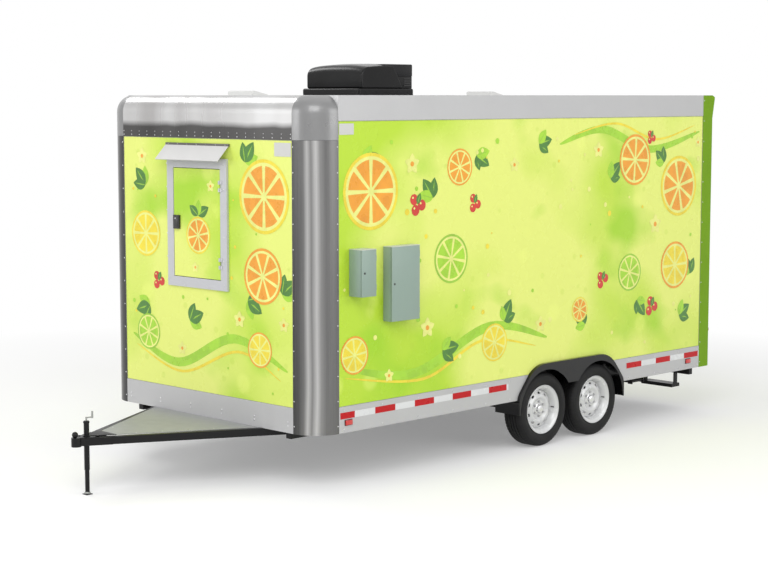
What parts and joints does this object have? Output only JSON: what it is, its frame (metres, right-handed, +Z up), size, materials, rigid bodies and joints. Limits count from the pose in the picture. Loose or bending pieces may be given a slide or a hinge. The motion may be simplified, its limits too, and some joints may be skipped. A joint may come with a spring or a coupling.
{
  "type": "food trailer",
  "caption": "Box-bodied tandem-axle food trailer with serving window and awning, entry door, front hatch, rooftop air conditioner, A-frame tongue and jack.",
  "frame": {"origin": "on the ground, on the trailer's centre plane, midway between the coupler's nose and the rear header", "axes": "+X street side, +Y towards the rear, +Z up"},
  "size_m": [2.803, 6.542, 3.31],
  "materials": {
    "frame_black": "semi-gloss black paint",
    "deck_grey": "satin grey paint",
    "jack_zinc": "zinc-plated",
    "wheel_tub": "moulded black plastic",
    "floor_ply": "sealed floor panel",
    "roof_white": "white coated sheet",
    "wrap": "printed vinyl film over aluminium panels",
    "stainless": "brushed stainless steel",
    "rail_grey": "light grey coated aluminium",
    "post_green": "gloss green film",
    "hatch_grey": "light grey coated aluminium",
    "box_grey": "grey-green enamel",
    "ac_black": "gloss black moulding",
    "vent_white": "white moulding",
    "lamp_red": "red lens",
    "window_aluminium": "anodised",
    "glass": "clear",
    "counter_steel": "brushed stainless steel",
    "tyre": "rubber",
    "rim_white": "silver-white enamel",
    "latch_black": "black",
    "door_white": "printed vinyl film over aluminium panels"
  },
  "bodies": {
    "trailer": {"main_rails": "frame_black", "cross_members": "frame_black", "tongue_rail_street": "frame_black", "tongue_rail_curb": "frame_black", "tongue_deck": "deck_grey", "coupler": "frame_black", "jack_tube": "frame_black", "jack_leg": "jack_zinc", "jack_crank": "jack_zinc", "front_axle": "frame_black", "rear_axle": "frame_black", "wheel_well_street": "wheel_tub", "wheel_well_curb": "wheel_tub", "floor": "floor_ply", "roof": "roof_white", "front_wall": "wrap", "street_wall": "wrap", "curb_wall": "wrap", "rear_wall": "wrap", "front_posts": "stainless", "front_cornice": "stainless", "cornice_caps": "rail_grey", "top_rails": "rail_grey", "lower_rails": "rail_grey", "rear_posts": "post_green", "rear_header": "post_green", "hatch_frame": "hatch_grey", "hatch_visor": "hatch_grey", "service_boxes": "box_grey", "ac_base": "ac_black", "ac_shroud": "ac_black", "roof_vents": "vent_white", "rear_bumper": "frame_black", "rear_step": "frame_black", "door_hinges": "jack_zinc", "tail_lamps": "lamp_red", "stabiliser_brackets": "frame_black", "serving_frame": "hatch_grey", "window_frame": "window_aluminium", "window_panes": "glass", "shelf_hinges": "jack_zinc", "counter": "counter_steel"},
    "wheel_front_street": {"tyre_front_street": "tyre", "rim_front_street": "rim_white"},
    "wheel_front_curb": {"tyre_front_curb": "tyre", "rim_front_curb": "rim_white"},
    "wheel_rear_street": {"tyre_rear_street": "tyre", "rim_rear_street": "rim_white"},
    "wheel_rear_curb": {"tyre_rear_curb": "tyre", "rim_rear_curb": "rim_white"},
    "entry_door": {"rear_door": "door_white", "door_handle": "latch_black"},
    "hatch": {"front_hatch": "wrap", "hatch_latch": "latch_black"},
    "awning": {"awning": "wrap"},
    "shelf": {"serving_shelf": "counter_steel"},
    "stabiliser_street_leg": {"stabiliser_street": "frame_black"},
    "stabiliser_curb_leg": {"stabiliser_curb": "frame_black"}
  },
  "joints": [
    {"name": "wheel_front_street_spin", "type": "hinge", "parent": "trailer", "child": "wheel_front_street", "pos_m": [1.1825, 0.7765, 0.324], "axis": [1, 0, 0], "continuous": true},
    {"name": "wheel_front_curb_spin", "type": "hinge", "parent": "trailer", "child": "wheel_front_curb", "pos_m": [-1.1825, 0.7765, 0.324], "axis": [1, 0, 0], "continuous": true},
    {"name": "wheel_rear_street_spin", "type": "hinge", "parent": "trailer", "child": "wheel_rear_street", "pos_m": [1.1825, 1.4955, 0.324], "axis": [1, 0, 0], "continuous": true},
    {"name": "wheel_rear_curb_spin", "type": "hinge", "parent": "trailer", "child": "wheel_rear_curb", "pos_m": [-1.1825, 1.4955, 0.324], "axis": [1, 0, 0], "continuous": true},
    {"name": "entry_door_hinge", "type": "hinge", "parent": "trailer", "child": "entry_door", "pos_m": [1.1275, 3.2345, 1.477], "axis": [0, 0, -1], "range_deg": [0, 115]},
    {"name": "hatch_hinge", "type": "hinge", "parent": "trailer", "child": "hatch", "pos_m": [0.2155, -1.9765, 2.0165], "axis": [0, 0, 1], "range_deg": [0, 165]},
    {"name": "awning_hinge", "type": "hinge", "parent": "trailer", "child": "awning", "pos_m": [-1.3135, 0.647, 2.4475], "axis": [0, 1, 0], "range_deg": [0, 90]},
    {"name": "shelf_hinge", "type": "hinge", "parent": "trailer", "child": "shelf", "pos_m": [-1.298, 0.647, 1.33], "axis": [0, 1, 0], "range_deg": [0, 90]},
    {"name": "stabiliser_street_hinge", "type": "hinge", "parent": "trailer", "child": "stabiliser_street_leg", "pos_m": [0.975, 2.513, 0.347], "axis": [0, -1, 0], "range_deg": [0, 90]},
    {"name": "stabiliser_curb_hinge", "type": "hinge", "parent": "trailer", "child": "stabiliser_curb_leg", "pos_m": [-0.975, 2.513, 0.347], "axis": [0, 1, 0], "range_deg": [0, 90]}
  ]
}
